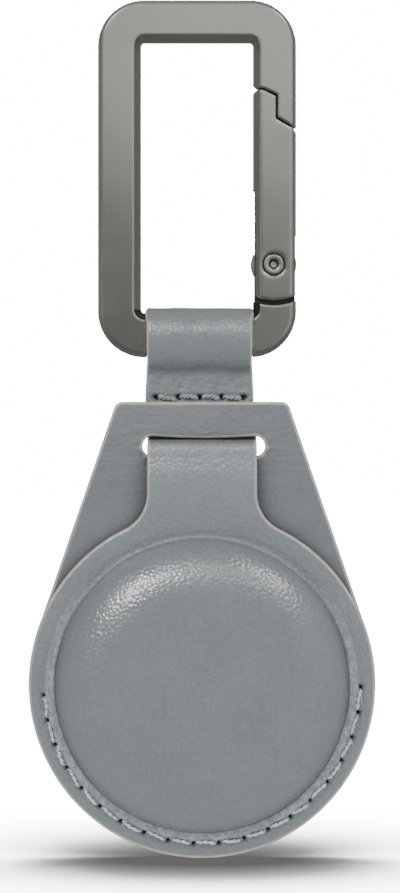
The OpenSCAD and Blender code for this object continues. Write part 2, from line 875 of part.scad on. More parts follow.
hook_frame();
hook_gate();
gate_rivet();
gate_plunger();
gate_spring();
strap_loop();
neck_strap();
yoke_facing();
yoke_backing();
front_panel();
front_lining();
back_facing();
back_backing();
pouch_top_thread();
pouch_bobbin_thread();
strap_top_thread();
strap_bobbin_thread();
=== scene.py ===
"""Looks of the tracker tag holder: a clip-on hook, a strap loop and a moulded leather pouch."""

import math

import bmesh
import bpy
import numpy as np
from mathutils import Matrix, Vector, geometry


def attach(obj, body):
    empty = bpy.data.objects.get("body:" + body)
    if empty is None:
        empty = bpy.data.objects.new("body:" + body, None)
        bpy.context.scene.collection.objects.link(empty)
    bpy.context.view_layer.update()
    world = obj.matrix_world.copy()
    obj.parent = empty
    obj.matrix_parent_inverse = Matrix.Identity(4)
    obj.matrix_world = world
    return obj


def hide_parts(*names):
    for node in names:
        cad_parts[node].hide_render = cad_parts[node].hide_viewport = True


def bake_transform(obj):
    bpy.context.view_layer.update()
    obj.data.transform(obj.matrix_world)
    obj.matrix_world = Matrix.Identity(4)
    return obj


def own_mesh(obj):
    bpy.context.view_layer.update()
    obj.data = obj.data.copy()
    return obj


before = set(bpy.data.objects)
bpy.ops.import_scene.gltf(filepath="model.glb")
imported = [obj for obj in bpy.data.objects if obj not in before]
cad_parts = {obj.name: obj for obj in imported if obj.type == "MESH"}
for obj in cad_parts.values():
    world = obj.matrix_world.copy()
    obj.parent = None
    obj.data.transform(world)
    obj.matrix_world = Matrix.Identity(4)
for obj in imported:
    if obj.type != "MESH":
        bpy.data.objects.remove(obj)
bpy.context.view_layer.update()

MM = 0.001

# Places in the shared frame, in millimetres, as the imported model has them
SIDE = 0.6
DISC_Z = -76.7
DISC_R = 20.65
DOME_R = 17.3
FOOT_R = 0.5
WALL_H = 3.4
SHOULDER = (6.9, 5.7)
CROWN = 0.35
RIM_H = 1.3
POCKET_Y = -3.16
FACE_Y = -4.46
BACK_Y = -1.86
OUTER_T = 0.9
FULL_T = 1.3
NECK_W = 13.1
NECK_FILLET = 4.75
NECK_CORNER = 0.4
BEND_Z = -49.07
BEND_R = 0.85
BEND_RUN = 1.45
SLOT = (0.8, -48.35, 14.6, 2.35)
YOKE_TOP = -43.05
YOKE_W = 20.5
YOKE_ROUND = 1.1
BAR_Z = -35.35
STRAP_X = (-6.0, 6.6)
STRAP_FACE = 1.31
RIVET = (9.18, -26.6)
GATE_HALF_W = 2.3
TANG_TOP_Z = -29.6
FLOOR_Z = -97.4

# The two rows of needle holes: round the pouch, from the right in degrees, and across the strap
SEAM_R = 18.85
SEAM_FIRST = -0.8
SEAM_STEP = 175.45 / 19
SEAM_HOLES = 20
SEAM_ARC = (-184, 6)
TIE_Z = -42.55
TIE_MID = 0.3
TIE_STEP = 2.6
TIE_HOLES = 5

# Forms that the solids leave out: the neck's arch, the slot's sag, and what the stitches do to the leather
NECK_ARCH = 0.55
ARCH_RUN = 12.5
SLOT_SAG = 0.26
FOLD_H = 0.045
GROOVE = (0.15, 0.34)
PIT = 0.62
WELT_OFF = 0.72
WELT_W = 0.33
CREASE_OVER_TIE = 3.4
CREASE = 0.33

# Distances from a cut edge at which a sheet has a row of points, and the width of its rounding and paint
EDGE_ROWS = (0.0, 0.025, 0.07, 0.14, 0.22, 0.32, 0.45)
EDGE_A = 0.45
PAINT_ROW = 0.40
PAINT_COLS = 4

# The box over which a sheet's inner points are spread: its sides, its foot and each sheet's top
GRID_X = (-22, 23)
GRID_LOW = -99
FRONT_GRID_TOP = -46.6
BACK_GRID_TOP = -42

# Over this height the back panel has no stitches
STITCHES_END_Z = -74.1

# Tints: none, and the cool one of thread and suede
NO_TINT = (1.0, 1.0, 1.0)
COOL = (0.97, 1.0, 1.02)


# Shader helpers
def new_material(name):
    mat = bpy.data.materials.new(name)
    mat.use_nodes = True
    tree = mat.node_tree
    bsdf = next(n for n in tree.nodes if n.type == "BSDF_PRINCIPLED")
    return mat, tree, bsdf


def feed(tree, socket, value):
    """Set a socket to a constant, or link another node's output to it."""
    if isinstance(value, (int, float, tuple)):
        socket.default_value = value
    else:
        tree.links.new(value, socket)


def node(tree, kind, **inputs):
    """A node with its sockets fed by name, where an underscore stands for a space."""
    n = tree.nodes.new(kind)
    for key, value in inputs.items():
        feed(tree, n.inputs[key.replace("_", " ")], value)
    return n


def object_coords(tree, scale=(1, 1, 1)):
    coord = node(tree, "ShaderNodeTexCoord")
    return node(tree, "ShaderNodeMapping", Vector=coord.outputs["Object"], Scale=scale).outputs["Vector"]


def noise(tree, vector, scale, detail=3.0, rough=0.5, distortion=0.0):
    return node(tree, "ShaderNodeTexNoise", Vector=vector, Scale=scale, Detail=detail, Roughness=rough,
                Distortion=distortion).outputs["Fac"]


def grey(value, tint=NO_TINT):
    return (value * tint[0], value * tint[1], value * tint[2], 1.0)


def ramp(tree, fac, stops, tint=NO_TINT):
    """A ramp over fac through stops, each a position with a grey in the tint, or with a colour."""
    n = node(tree, "ShaderNodeValToRGB", Fac=fac)
    colours = [(at, value if isinstance(value, tuple) else grey(value, tint)) for at, value in stops]
    elements = n.color_ramp.elements
    for element, (at, colour) in zip((elements[0], elements[1]), (colours[0], colours[-1])):
        element.position, element.color = at, colour
    for at, colour in colours[1:-1]:
        elements.new(at).color = colour
    return n.outputs["Color"]


def math_node(tree, kind, a, b=0.0):
    n = tree.nodes.new("ShaderNodeMath")
    n.operation = kind
    for socket, value in zip(n.inputs, (a, b)):
        feed(tree, socket, value)
    return n.outputs[0]


def vector_node(tree, kind, a, b=(0, 0, 0), output="Vector"):
    n = tree.nodes.new("ShaderNodeVectorMath")
    n.operation = kind
    for socket, value in zip(n.inputs, (a, b)):
        feed(tree, socket, value)
    return n.outputs[output]


def map_range(tree, value, low, high, start=0.0, end=1.0):
    return node(tree, "ShaderNodeMapRange", Value=value, From_Min=low, From_Max=high, To_Min=start,
                To_Max=end).outputs["Result"]


def axis_of(tree, vector, axis):
    return node(tree, "ShaderNodeSeparateXYZ", Vector=vector).outputs[axis]


def mix(tree, share, a, b, blend="MIX"):
    n = tree.nodes.new("ShaderNodeMix")
    n.data_type = "RGBA"
    n.blend_type = blend
    for name, value in (("Factor", share), ("A", a), ("B", b)):
        feed(tree, n.inputs[name], value)
    return n.outputs["Result"]


def times(tree, a, b):
    return mix(tree, 1.0, a, b, "MULTIPLY")


def openness(tree, distance, samples):
    """How open a place is to all sides, from 0 to 1."""
    n = node(tree, "ShaderNodeAmbientOcclusion", Distance=distance)
    n.samples = samples
    return n.outputs["AO"]


def bump(tree, bsdf, height, distance, strength=1.0, before=None):
    n = node(tree, "ShaderNodeBump", Strength=strength, Distance=distance, Height=height)
    if before is not None:
        tree.links.new(before, n.inputs["Normal"])
    tree.links.new(n.outputs["Normal"], bsdf.inputs["Normal"])
    return n.outputs["Normal"]


# Materials
def height_bands(tree, z, bands):
    """Bands over height: each has a height in mm, a share of the tone, and a roughness that is added."""
    low, high = bands[0][0], bands[-1][0]
    at = math_node(tree, "MULTIPLY", math_node(tree, "SUBTRACT", z, low * MM), 1000.0 / (high - low))
    return [ramp(tree, at, [((band[0] - low) / (high - low), band[k]) for band in bands]) for k in (1, 2)]


def painted_crease_shade(tree, z):
    """Painted shade: thin dark lines for the shade in fine creases across a sheet, deepest beside the slot's
    ends, and shade under what lies close to it.
    """
    lines = noise(tree, object_coords(tree, (0.1, 1, 1)), 2300, 3, 0.6, 0.5)
    thin = ramp(tree, lines, [(0.43, 1.0), (0.5, 0.80), (0.57, 1.0)])
    off_slot = math_node(tree, "ABSOLUTE", math_node(tree, "SUBTRACT", z, SLOT[1] * MM))
    beside = map_range(tree, off_slot, 0.0, 8 * MM, 1.0, 0.3)
    shade = ramp(tree, openness(tree, 3 * MM, 8), [(0.45, 0.5), (0.75, 0.78), (0.97, 1.0)])
    return times(tree, mix(tree, beside, grey(1.0), thin), shade)


def dome_foot_shading(tree, v, cloud, colour, tint):
    """Colour and added roughness at the dome's foot: painted shade in the crease, deeper on the low side than
    on top, and painted light on the rim round it and on the flange; the paler ring low down is partly worn
    leather, and the pale line at the top's foot partly a painted highlight.
    The ramps run over the distance from the pouch's middle, in which 1 stands for 25 mm."""
    offset = vector_node(tree, "SUBTRACT", v, (SIDE * MM, 0, DISC_Z * MM))
    far = vector_node(tree, "LENGTH", vector_node(tree, "MULTIPLY", offset, (1, 0, 1)), output="Value")
    uneven = math_node(tree, "MULTIPLY", math_node(tree, "SUBTRACT", cloud, 0.5), 0.012)
    away = math_node(tree, "ADD", math_node(tree, "MULTIPLY", far, 40.0), uneven)
    # low side: painted shade in the crease, then painted light on the ring beyond it, partly worn leather,
    # and on the flange
    low_side = ramp(tree, away, [(0.60, 1.0), (0.655, 0.94), (0.682, 0.74), (0.694, 0.50), (0.700, 0.46),
                                 (0.706, 0.88), (0.711, 1.45), (0.738, 1.5), (0.750, 1.25)])
    # top side: lighter painted shade, a pale line that is partly wear and partly painted highlight, and
    # painted light on the flange
    top_side = ramp(tree, away, [(0.66, 1.0), (0.690, 0.93), (0.700, 0.86), (0.707, 1.10), (0.716, 1.05),
                                 (0.75, 1.25)])
    # the low side gets the deeper painted shade, as less light reaches it
    high = map_range(tree, axis_of(tree, offset, "Z"), 4 * MM, 13 * MM)
    colour = times(tree, colour, mix(tree, high, low_side, top_side))
    # low down, leather rubbed pale in streaks between the crease and the stitches
    rubbed = ramp(tree, away, [(0.703, 0.0), (0.714, 1.0), (0.738, 1.0), (0.748, 0.0)])
    patchy = ramp(tree, noise(tree, v, 1300, 4, 0.7, 0.6), [(0.44, 0.0), (0.6, 0.75)])
    below = math_node(tree, "SUBTRACT", 1.0, high)
    pale = math_node(tree, "MULTIPLY", math_node(tree, "MULTIPLY", rubbed, patchy), below)
    matt = ramp(tree, away, [(0.688, 0.0), (0.698, 0.3), (0.714, 0.3), (0.728, 0.0)])
    return mix(tree, pale, colour, grey(0.5, tint)), matt


def leather(name, tone, cell, grain, rough, tint=(0.908, 1.0, 1.05), furrow=0.055, bands=None, crease_shaded=False,
            foot=False):
    """Dyed, pebbled leather: tone is its grey, cell the pebbles' size in mm and grain their depth in mm."""
    mottled, warped = 0.07, 0.45 * MM
    mat, tree, bsdf = new_material(name)
    v = object_coords(tree)
    cloud = noise(tree, v, 180, 4, 0.55)
    fine = noise(tree, v, 2600, 3, 0.6)
    cloud_half, fine_half = (math_node(tree, "MULTIPLY", part, 0.5) for part in (cloud, fine))
    mixed = math_node(tree, "ADD", cloud_half, fine_half)
    colour = ramp(tree, mixed, [(0.3, tone * (1 - mottled)), (0.5, tone), (0.72, tone * (1 + mottled))], tint)
    warp = node(tree, "ShaderNodeTexNoise", Vector=v, Scale=700)
    shift = vector_node(tree, "MULTIPLY", warp.outputs["Color"], (warped, warped, warped))
    pebble = node(tree, "ShaderNodeTexVoronoi", Scale=1000.0 / cell)
    pebble.feature = "SMOOTH_F1"
    feed(tree, pebble.inputs["Smoothness"], 0.35)
    feed(tree, pebble.inputs["Vector"], vector_node(tree, "ADD", v, shift))
    round_top = math_node(tree, "SUBTRACT", 1.0, pebble.outputs["Distance"])
    # painted shade and light on the grain: the pebbles' valleys are made darker and their tops paler, by
    # furrow
    painted_grain_shading = ramp(tree, round_top, [(0.35, 1.0 - furrow), (0.62, 1.0), (0.85, 1.0 + 0.6 * furrow)])
    colour = times(tree, colour, painted_grain_shading)
    roughness = ramp(tree, cloud, [(0.3, rough - 0.04), (0.7, rough + 0.05)])
    height = axis_of(tree, v, "Z")
    # the bands, the crease lines and the dome's foot paint shade into the tone, and at the foot light too
    if bands is not None:
        share, matt = height_bands(tree, height, bands)
        colour = times(tree, colour, share)
        roughness = math_node(tree, "ADD", roughness, matt)
    if crease_shaded:
        colour = times(tree, colour, painted_crease_shade(tree, height))
    if foot:
        colour, matt = dome_foot_shading(tree, v, cloud, colour, tint)
        roughness = math_node(tree, "ADD", roughness, matt)
    tree.links.new(colour, bsdf.inputs["Base Color"])
    tree.links.new(roughness, bsdf.inputs["Roughness"])
    grained = bump(tree, bsdf, round_top, grain * MM)
    bump(tree, bsdf, fine, 0.02 * MM, 0.6, grained)
    return mat


def edge_paint():
    mat, tree, bsdf = new_material("edge_paint")
    v = object_coords(tree)
    stops = [(0.3, 0.33), (0.6, 0.41), (0.8, grey(0.48, (1.06, 1.0, 0.92)))]
    worn = ramp(tree, noise(tree, v, 900, 4, 0.6), stops, (1.07, 1.0, 0.90))
    tree.links.new(worn, bsdf.inputs["Base Color"])
    bsdf.inputs["Roughness"].default_value = 0.5
    bump(tree, bsdf, noise(tree, v, 1500, 3, 0.6), 0.03 * MM)
    return mat


# Painted shade: near black faces inside the needle holes.
def painted_hole_shade():
    mat, tree, bsdf = new_material("needle_hole_shade")
    colour = ramp(tree, noise(tree, object_coords(tree), 3000), [(0.3, 0.012), (0.8, 0.035)])
    tree.links.new(colour, bsdf.inputs["Base Color"])
    bsdf.inputs["Roughness"].default_value = 0.9
    return mat


def suede(name, tone):
    mat, tree, bsdf = new_material(name)
    nap = noise(tree, object_coords(tree), 2200, 5, 0.7)
    tree.links.new(ramp(tree, nap, [(0.25, tone * 0.8), (0.75, tone * 1.2)], COOL), bsdf.inputs["Base Color"])
    bsdf.inputs["Roughness"].default_value = 0.85
    bsdf.inputs["Sheen Weight"].default_value = 0.25
    bsdf.inputs["Sheen Roughness"].default_value = 0.5
    bump(tree, bsdf, nap, 0.06 * MM)
    return mat


def cast_metal(name, tone, rough, tint=(0.985, 1.01, 0.912), edge=0.3, eye=None):
    """Satin plated casting, faintly cloudy. eye is the tone where the tang's eye stands out of the gate."""
    mat, tree, bsdf = new_material(name)
    v = object_coords(tree)
    colour = ramp(tree, noise(tree, v, 110, 3, 0.5), [(0.3, tone * 0.95), (0.7, tone * 1.05)], tint)
    if eye is not None:
        aside = math_node(tree, "ABSOLUTE", math_node(tree, "SUBTRACT", axis_of(tree, v, "X"), RIVET[0] * MM))
        outside = math_node(tree, "GREATER_THAN", aside, GATE_HALF_W * MM)
        above = math_node(tree, "GREATER_THAN", axis_of(tree, v, "Z"), TANG_TOP_Z * MM)
        clear = math_node(tree, "MULTIPLY", outside, above)
        colour = mix(tree, clear, colour, grey(eye, (1.0, 1.01, 0.92)))
    tree.links.new(colour, bsdf.inputs["Base Color"])
    bsdf.inputs["Metallic"].default_value = 1.0
    roughness = ramp(tree, noise(tree, v, 260, 2, 0.5), [(0.3, rough - 0.02), (0.7, rough + 0.02)])
    tree.links.new(roughness, bsdf.inputs["Roughness"])
    soft = node(tree, "ShaderNodeBevel", Radius=edge * MM)
    soft.samples = 8
    tree.links.new(soft.outputs["Normal"], bsdf.inputs["Normal"])
    return mat


def spun_thread(name, tone):
    mat, tree, bsdf = new_material(name)
    fibre = noise(tree, object_coords(tree), 5000, 3, 0.6)
    colour = ramp(tree, fibre, [(0.25, 0.45 * tone), (0.5, 0.85 * tone), (0.75, 1.25 * tone)], COOL)
    tree.links.new(colour, bsdf.inputs["Base Color"])
    bsdf.inputs["Roughness"].default_value = 0.6
    bsdf.inputs["Sheen Weight"].default_value = 0.3
    bump(tree, bsdf, fibre, 0.03 * MM)
    return mat


# The bands darken the neck's top where it goes back into the slot: painted shade of the slot's edge.
DOME_LEATHER = leather("pebbled_leather", 0.203, 0.45, 0.07, 0.29, foot=True,
                       bands=[(-60, 1, 0), (-49.5, 1, 0), (-48.8, 0.96, 0.08), (-48.3, 0.72, 0.22),
                              (-47.6, 0.35, 0.4)])
YOKE_LEATHER = leather("yoke_leather", 0.190, 0.45, 0.035, 0.42, (0.912, 0.995, 1.05), furrow=0.03,
                       crease_shaded=True)
# The bands darken a crease above the stitches, where the loop meets the doubled strap: painted shade in the
# crease.
STRAP_LEATHER = leather("strap_leather", 0.197, 0.42, 0.05, 0.33,
                        bands=[(-45, 1, 0.2), (-42, 1.04, 0.2), (-41.3, 0.86, 0.24), (-40.7, 0.72, 0.28),
                               (-40, 0.69, 0.26), (-39.4, 0.7, 0.14), (-39, 0.69, 0.05), (-38.5, 0.85, 0.02),
                               (-38, 1, 0)])
EDGE_PAINT = edge_paint()
NEEDLE_HOLE_SHADE = painted_hole_shade()
LINING = suede("lining_suede", 0.16)
METAL = cast_metal("satin_gunmetal", 0.42, 0.25, edge=0.5)
GATE_METAL = cast_metal("satin_gunmetal_gate", 0.44, 0.25, edge=0.65)
# Painted shade: near black metal for the sides inside the gate's slot and groove, the window's lower corners
# and the rivet's dimple, with a plain metal tone where the tang's eye shows past the gate.
RECESS_METAL = cast_metal("shaded_gunmetal", 0.07, 0.5, (0.97, 1.0, 1.1), eye=0.34)
RIVET_METAL = cast_metal("rivet_metal", 0.45, 0.32)
SPRING_STEEL = cast_metal("spring_wire", 0.55, 0.25, NO_TINT)
THREAD = spun_thread("sewing_thread", 0.95)
TIE_THREAD = spun_thread("strap_thread", 0.46)


# Meshes
def make_piece(name, verts_mm, faces, mats, face_mats=None):
    mesh = bpy.data.meshes.new(name)
    mesh.from_pydata((np.asarray(verts_mm, float) * MM).tolist(), [], [list(map(int, f)) for f in faces])
    for m in mats:
        mesh.materials.append(m)
    mesh.polygons.foreach_set("use_smooth", [True] * len(mesh.polygons))
    if face_mats is not None:
        mesh.polygons.foreach_set("material_index", [int(i) for i in face_mats])
    mesh.update()
    obj = bpy.data.objects.new(name, mesh)
    bpy.context.scene.collection.objects.link(obj)
    return obj


def inside(points, loop):
    """Which points lie inside a closed loop, by counting crossings."""
    x, z = points[:, 0], points[:, 1]
    found = np.zeros(len(points), bool)
    ax, az = loop[-1]
    for bx, bz in loop:
        crosses = (bz > z) != (az > z)
        if crosses.any():
            at = (ax - bx) * (z - bz) / ((az - bz) if az != bz else 1e-12) + bx
            found ^= crosses & (x < at)
        ax, az = bx, bz
    return found


def resample(points, step):
    """A closed polyline with points about step apart, its sharp corners kept only as near as step."""
    p = np.asarray(points, float)
    q = np.vstack([p, p[:1]])
    lengths = np.hypot(*(q[1:] - q[:-1]).T)
    total = lengths.sum()
    at = np.concatenate([[0], np.cumsum(lengths)])
    n = max(12, int(round(total / step)))
    s = np.arange(n) * total / n
    return np.column_stack([np.interp(s, at, q[:, 0]), np.interp(s, at, q[:, 1])])


def inset(loop, distance, side):
    """The loop moved inward; side is +1 where the material lies to the left of its direction."""
    ahead = np.roll(loop, -1, 0) - np.roll(loop, 1, 0)
    ahead /= np.maximum(np.hypot(ahead[:, 0], ahead[:, 1]), 1e-9)[:, None]
    normal = np.column_stack([-ahead[:, 1], ahead[:, 0]]) * side
    return loop + normal * distance


def distance_to(points, loop):
    a, b = loop, np.roll(loop, -1, 0)
    best = np.full(len(points), 1e9)
    for i in range(len(a)):
        d = b[i] - a[i]
        t = np.clip(((points - a[i]) @ d) / max(d @ d, 1e-12), 0, 1)
        best = np.minimum(best, np.hypot(*(points - (a[i] + t[:, None] * d)).T))
    return best


def edge_shape(d):
    """Share of the half thickness at distance d from a cut, painted and rubbed round edge."""
    u = np.clip(1 - d / EDGE_A, 0, 1)
    return (1 - u ** 2.3) ** (1 / 2.3)


def flat_sheet(outline, holes, interior):
    """Points, triangles and distances to the nearest cut edge of a flat sheet."""
    points, distances, edges, rims = [], [], [], []
    for loop, side in [(outline, 1)] + [(h, -1) for h in holes]:
        for row in EDGE_ROWS:
            start = sum(map(len, points))
            moved = inset(loop, row, side)
            points.append(moved)
            distances.append(np.full(len(loop), row))
            if row == 0.0:
                n = len(loop)
                edges += [(start + i, start + (i + 1) % n) for i in range(n)]
                rims.append(loop)
    keep = inside(interior, outline)
    for h in holes:
        keep &= ~inside(interior, h)
    interior = interior[keep]
    gap = np.full(len(interior), 1e9)
    for loop in rims:
        gap = np.minimum(gap, distance_to(interior, loop))
    keep = gap > EDGE_A + 0.08
    points.append(interior[keep])
    distances.append(gap[keep])
    points, distances = np.vstack(points), np.concatenate(distances)
    out = geometry.delaunay_2d_cdt([Vector(p) for p in points.tolist()], edges, [], 0, 1e-7)
    xy = np.array([(v[0], v[1]) for v in out[0]])
    origin = [o[0] if o else -1 for o in out[3]]
    d = np.array([distances[o] if o >= 0 else 0.0 for o in origin])
    faces = np.array([f for f in out[2] if len(f) == 3])
    middle = xy[faces].mean(1)
    good = inside(middle, outline)
    for h in holes:
        good &= ~inside(middle, h)
    faces = faces[good]
    a, b, c = xy[faces[:, 0]], xy[faces[:, 1]], xy[faces[:, 2]]
    turn = (b[:, 0] - a[:, 0]) * (c[:, 1] - a[:, 1]) - (b[:, 1] - a[:, 1]) * (c[:, 0] - a[:, 0])
    faces[turn < 0] = faces[turn < 0][:, ::-1]
    return xy, faces, d


def sheet_piece(name, outline, holes, interior, place, top_t, rear_t, mats, dark=None):
    """A leather sheet between depths 0 and rear_t behind its face, with rounded painted edges.
    top_t is the thickness that the edge's rounding is centred on."""
    xy, faces, d = flat_sheet(outline, holes, interior)
    sunk = top_t / 2 * (1 - edge_shape(d))
    rear = np.minimum(top_t - sunk, rear_t)
    rim = d <= 1e-6
    inner = np.flatnonzero(~rim)
    rear_index = np.where(rim, np.arange(len(xy)), 0)
    rear_index[inner] = len(xy) + np.arange(len(inner))
    verts = np.vstack([place(xy[:, 0], xy[:, 1], sunk, True),
                       place(xy[inner, 0], xy[inner, 1], rear[inner], False)])
    painted = np.where(d[faces].max(1) <= PAINT_ROW, 1, 0)
    front_mats = painted.copy()
    # faces that dark picks get the third material, painted shade in the holes
    if dark is not None:
        middle = xy[faces].mean(1)
        front_mats[dark(middle[:, 0], middle[:, 1])] = 2
    # the flat triangles turn anticlockwise in x, z, which faces -Y
    return make_piece(name, verts, np.vstack([faces, rear_index[faces][:, ::-1]]), mats,
                      np.concatenate([front_mats, painted]))


def arc(x, z, r, degrees):
    return [(x + r * math.cos(math.radians(a)), z + r * math.sin(math.radians(a))) for a in degrees]


def from_middle(points):
    """Distance of points from the pouch's middle."""
    return np.hypot(points[:, 0] - SIDE, points[:, 1] - DISC_Z)


def hex_grid(top, step):
    """Even points over the pouch's box, up to a height."""
    out = []
    for i, z in enumerate(np.arange(GRID_LOW, top, step * 0.866)):
        xs = np.arange(GRID_X[0] + (step / 2 if i % 2 else 0), GRID_X[1], step)
        out.append(np.column_stack([xs, np.full(len(xs), z)]))
    return np.vstack(out)


def ring_points(radius, step, low=None, high=None):
    """Points round the pouch's middle, between two angles in degrees if given."""
    if low is None:
        n = max(6, int(2 * math.pi * radius / step))
        angles = (np.arange(n) + 0.5 * (int(radius / step) % 2)) * 2 * math.pi / n
    else:
        n = max(2, int(math.radians(high - low) * radius / step))
        angles = np.radians(low + (high - low) * (np.arange(n) + 0.5) / n)
    return np.column_stack([SIDE + radius * np.cos(angles), DISC_Z + radius * np.sin(angles)])


# The seam round the pouch
def ripple(x, z, size, seed):
    """Smooth deterministic unevenness, about -1 to 1, from a few crossed waves."""
    rng = np.random.RandomState(seed)
    out = np.zeros(np.shape(x))
    for _ in range(6):
        a, phase, f = rng.uniform(0, 2 * math.pi), rng.uniform(0, 2 * math.pi), rng.uniform(0.6, 1.6)
        out = out + np.sin((x * math.cos(a) + z * math.sin(a)) * f * 2 * math.pi / size + phase)
    return out / 3.5


def seam_place(x, z):
    """Distance from the seam's ring, outward, and place along it in stitches."""
    r = np.hypot(x - SIDE, z - DISC_Z)
    angle = np.degrees(np.arctan2(z - DISC_Z, x - SIDE))
    angle = np.where(angle > 90, angle - 360, angle)
    return r - SEAM_R, (SEAM_FIRST - angle) / SEAM_STEP


HOLE_SIZES = np.random.RandomState(8).uniform(0.72, 1.12, SEAM_HOLES)


def hole_measure(x, z):
    """0 in the middle of the nearest needle hole, 1 at its rim: a slanted diamond."""
    dr, u = seam_place(x, z)
    k = np.clip(np.round(u), 0, SEAM_HOLES - 1)
    along = (u - k) * math.radians(SEAM_STEP) * SEAM_R
    a, b = along * 0.82 + dr * 0.57, -along * 0.57 + dr * 0.82
    size = HOLE_SIZES[k.astype(int)]
    return np.abs(a) / (0.5 * size) + np.abs(b) / (0.34 * size)


def seam_depth(x, z):
    """How far the face is drawn in by the stitches, with a low welt on each side of them."""
    dr, u = seam_place(x, z)
    on = np.clip((u + 0.35) / 0.3, 0, 1) * np.clip((SEAM_HOLES - 1 + 0.35 - u) / 0.3, 0, 1)
    groove = GROOVE[0] * np.exp(-(dr / GROOVE[1]) ** 2)
    m = hole_measure(x, z)
    pit = PIT * np.clip(1.15 - m, 0, 1) ** 0.8
    beat = np.cos(2 * math.pi * (u - 0.5))
    inner = 0.075 * np.exp(-((dr + WELT_OFF) / WELT_W) ** 2) * (0.75 + 0.45 * beat)
    outer = 0.05 * np.exp(-((dr - WELT_OFF) / WELT_W) ** 2) * (0.7 + 0.5 * beat)
    wrinkle = 0.03 * np.sin(2 * math.pi * u * 3.0 + 9 * dr) * np.exp(-(dr / 0.8) ** 2)
    return on * (groove - inner - outer + wrinkle) + pit * (m < 1.2)


def dome_profile():
    """Radius, height over the pocket's plane, and outward normal of the moulded face, by length."""
    pts = []
    sx = DOME_R - SHOULDER[0]
    for r in np.linspace(0, sx, 24, endpoint=False):
        pts.append((r, WALL_H + SHOULDER[1] + CROWN * (math.cos(math.pi * r / sx) + 1) / 2))
    for t in np.linspace(0, math.pi / 2, 40, endpoint=False):
        pts.append((sx + SHOULDER[0] * math.sin(t), WALL_H + SHOULDER[1] * math.cos(t)))
    for h in np.linspace(WALL_H, RIM_H + FOOT_R, 6, endpoint=False):
        pts.append((DOME_R, h))
    for t in np.linspace(0, math.pi / 2, 10):
        pts.append((DOME_R + FOOT_R - FOOT_R * math.cos(t), RIM_H + FOOT_R - FOOT_R * math.sin(t)))
    p = np.array(pts)
    step = np.hypot(*np.diff(p, axis=0).T)
    s = np.concatenate([[0], np.cumsum(step)])
    tangent = np.gradient(p, s, axis=0)
    tangent /= np.hypot(*tangent.T)[:, None]
    tangent[0] = (1, 0)
    tangent[-1] = (1, 0)
    normal = np.column_stack([-tangent[:, 1], tangent[:, 0]])
    return s, p, normal


PROFILE = dome_profile()
FOOT_OUT = DOME_R + FOOT_R


def neck_path(s):
    """Middle of the neck's leather past the first bend's start, by length: y, z and the way to its rear."""
    quarter = BEND_R * math.pi / 2
    y0 = FACE_Y + FULL_T / 2
    a = np.clip(s / BEND_R, 0, math.pi / 2)
    b = np.clip((s - quarter - BEND_RUN) / BEND_R, 0, math.pi / 2)
    run = np.clip(s - quarter, 0, BEND_RUN)
    up = np.maximum(s - 2 * quarter - BEND_RUN, 0)
    before = np.minimum(s, 0)
    y = y0 + BEND_R * (1 - np.cos(a)) + run + BEND_R * np.sin(b)
    z = BEND_Z + before + BEND_R * np.sin(a) + BEND_R * (1 - np.cos(b)) + up
    turn = a - b
    return y, z, np.cos(turn), -np.sin(turn)


def neck_arch(z):
    """How far the neck stands forward of its flat way, between the dome and the slot."""
    t = np.clip((z - (BEND_Z - ARCH_RUN)) / ARCH_RUN, 0, 1)
    return NECK_ARCH * np.sin(math.pi * t ** 1.9) ** 1.6


def front_place(x, z, t, face):
    """Where a point of the flat front sheet lies at depth t under its face: on the dome or along the neck."""
    r = np.hypot(x - SIDE, z - DISC_Z)
    dome = r < FOOT_OUT
    s, p, nrm = PROFILE
    at = np.clip(r / FOOT_OUT, 0, 1) * s[-1]
    pr, ph, nr, nh = (np.interp(at, s, column) for column in (p[:, 0], p[:, 1], nrm[:, 0], nrm[:, 1]))
    depth = t
    if face:
        depth = t - 0.035 * ripple(x, z, 9.0, 3) * np.where(dome, 1.0, 0.5) + seam_depth(x, z)
    rr, hh = pr - nr * depth, ph - nh * depth
    ux, uz = (x - SIDE) / np.maximum(r, 1e-9), (z - DISC_Z) / np.maximum(r, 1e-9)
    # past the first bend the sheet follows the neck through the slot
    y, zz, ny, nz = neck_path(z - BEND_Z)
    y = y - neck_arch(z)
    off = depth - FULL_T / 2
    flat = np.column_stack([x, y + ny * off, zz + nz * off])
    domed = np.column_stack([SIDE + ux * rr, POCKET_Y - hh, DISC_Z + uz * rr])
    return np.where(dome[:, None], domed, flat)


def front_outline(end_z, shrink=0.0):
    """The pouch's disc with its neck, anticlockwise from the neck's lower right."""
    r, half, f = DISC_R - shrink, NECK_W / 2 - shrink, NECK_FILLET + shrink
    fx, fz = half + f, math.sqrt((r + f) ** 2 - (half + f) ** 2)
    touch = math.degrees(math.atan2(fz, fx))
    c = NECK_CORNER
    return np.array(arc(SIDE, DISC_Z, r, np.arange(180 - touch, 360 + touch, 0.6))
                    + arc(SIDE + fx, DISC_Z + fz, f, np.linspace(180 + touch, 180, 30))
                    + arc(SIDE + half - c, end_z - c, c, np.linspace(0, 90, 8))
                    + arc(SIDE - half + c, end_z - c, c, np.linspace(90, 180, 8))
                    + arc(SIDE - fx, DISC_Z + fz, f, np.linspace(0, -touch, 30)))


# Where the neck is cut between front_panel and neck_strap, by length past the first bend's start
NECK_CUT = BEND_R * math.pi / 2 + BEND_RUN / 2


